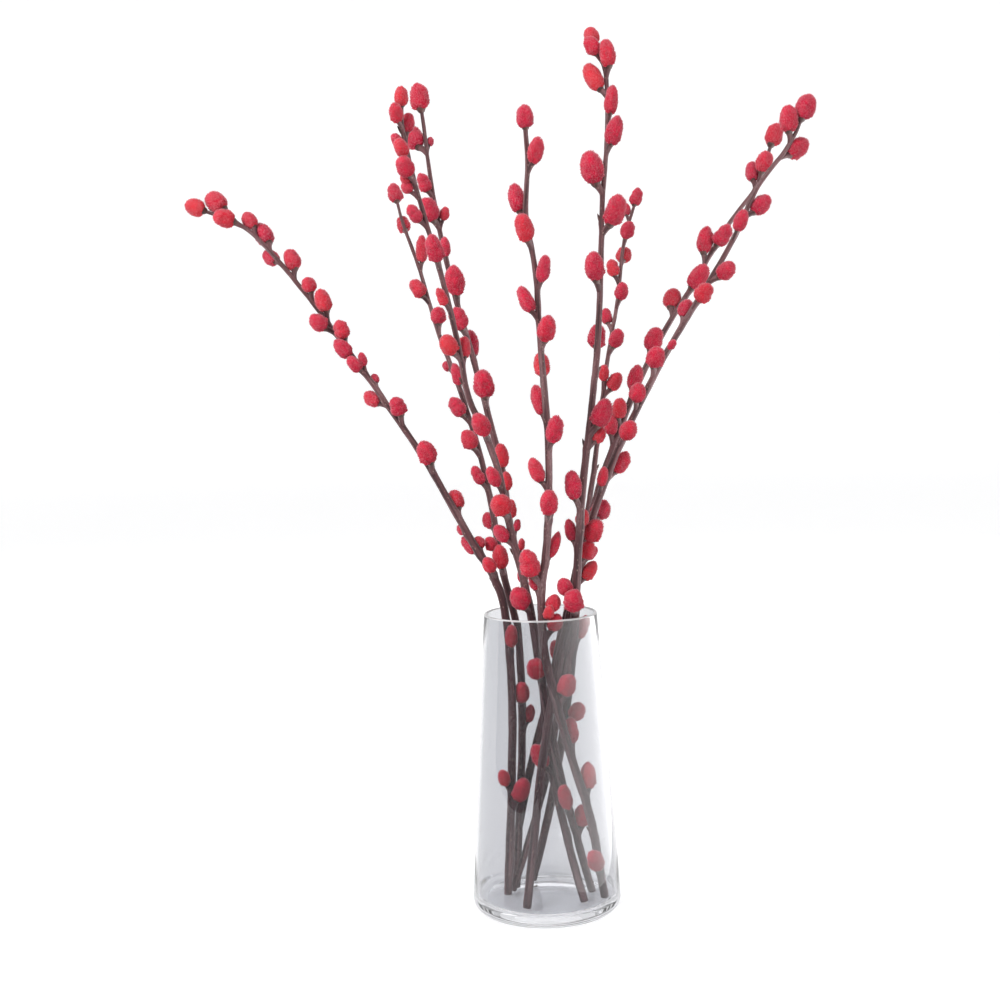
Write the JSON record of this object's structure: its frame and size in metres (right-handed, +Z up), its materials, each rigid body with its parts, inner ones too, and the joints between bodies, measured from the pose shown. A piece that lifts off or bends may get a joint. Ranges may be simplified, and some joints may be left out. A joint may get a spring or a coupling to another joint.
{
  "type": "vase of cut pussy willow stems",
  "caption": "Cut willow stems with dyed downy catkins, splayed in a tapered clear glass vase with a thick floor.",
  "frame": {"origin": "centre of the vase's flat underside", "axes": "+Z up along the vase, +X to the side where two long stems lean far out, +Y to the back"},
  "size_m": [0.5016, 0.2281, 0.7083],
  "materials": {
    "vase_glass": "clear, fire-polished",
    "willow_bark": "dusty mauve-brown bark, matt",
    "catkin_down": "red-dyed silky down"
  },
  "bodies": {
    "root": {"catkin_1_1": "catkin_down", "catkin_1_2": "catkin_down", "catkin_1_3": "catkin_down", "catkin_1_4": "catkin_down", "catkin_1_tip": "catkin_down", "catkin_2_1": "catkin_down", "catkin_2_2": "catkin_down", "catkin_2_3": "catkin_down", "catkin_2_4": "catkin_down", "catkin_2_tip": "catkin_down", "catkin_3_1": "catkin_down", "catkin_3_2": "catkin_down", "catkin_3_3": "catkin_down", "catkin_3_4": "catkin_down", "catkin_3_tip": "catkin_down", "catkin_4_1": "catkin_down", "catkin_4_2": "catkin_down", "catkin_4_3": "catkin_down", "catkin_4_4": "catkin_down", "catkin_4_tip": "catkin_down", "catkin_5_1": "catkin_down", "catkin_5_2": "catkin_down", "catkin_5_3": "catkin_down", "catkin_5_4": "catkin_down", "catkin_5_tip": "catkin_down", "catkin_6_1": "catkin_down", "catkin_6_2": "catkin_down", "catkin_6_3": "catkin_down", "catkin_6_4": "catkin_down", "catkin_6_tip": "catkin_down", "catkin_7_1": "catkin_down", "catkin_7_2": "catkin_down", "catkin_7_3": "catkin_down", "catkin_7_4": "catkin_down", "catkin_7_tip": "catkin_down", "catkin_8_1": "catkin_down", "catkin_8_2": "catkin_down", "catkin_8_3": "catkin_down", "catkin_8_4": "catkin_down", "catkin_8_tip": "catkin_down", "catkin_9_1": "catkin_down", "catkin_9_2": "catkin_down", "catkin_9_3": "catkin_down", "catkin_9_4": "catkin_down", "catkin_9_tip": "catkin_down", "stem_1": "willow_bark", "stem_2": "willow_bark", "stem_3": "willow_bark", "stem_4": "willow_bark", "stem_5": "willow_bark", "stem_6": "willow_bark", "stem_7": "willow_bark", "stem_8": "willow_bark", "stem_9": "willow_bark", "vase": "vase_glass"}
  },
  "joints": []
}
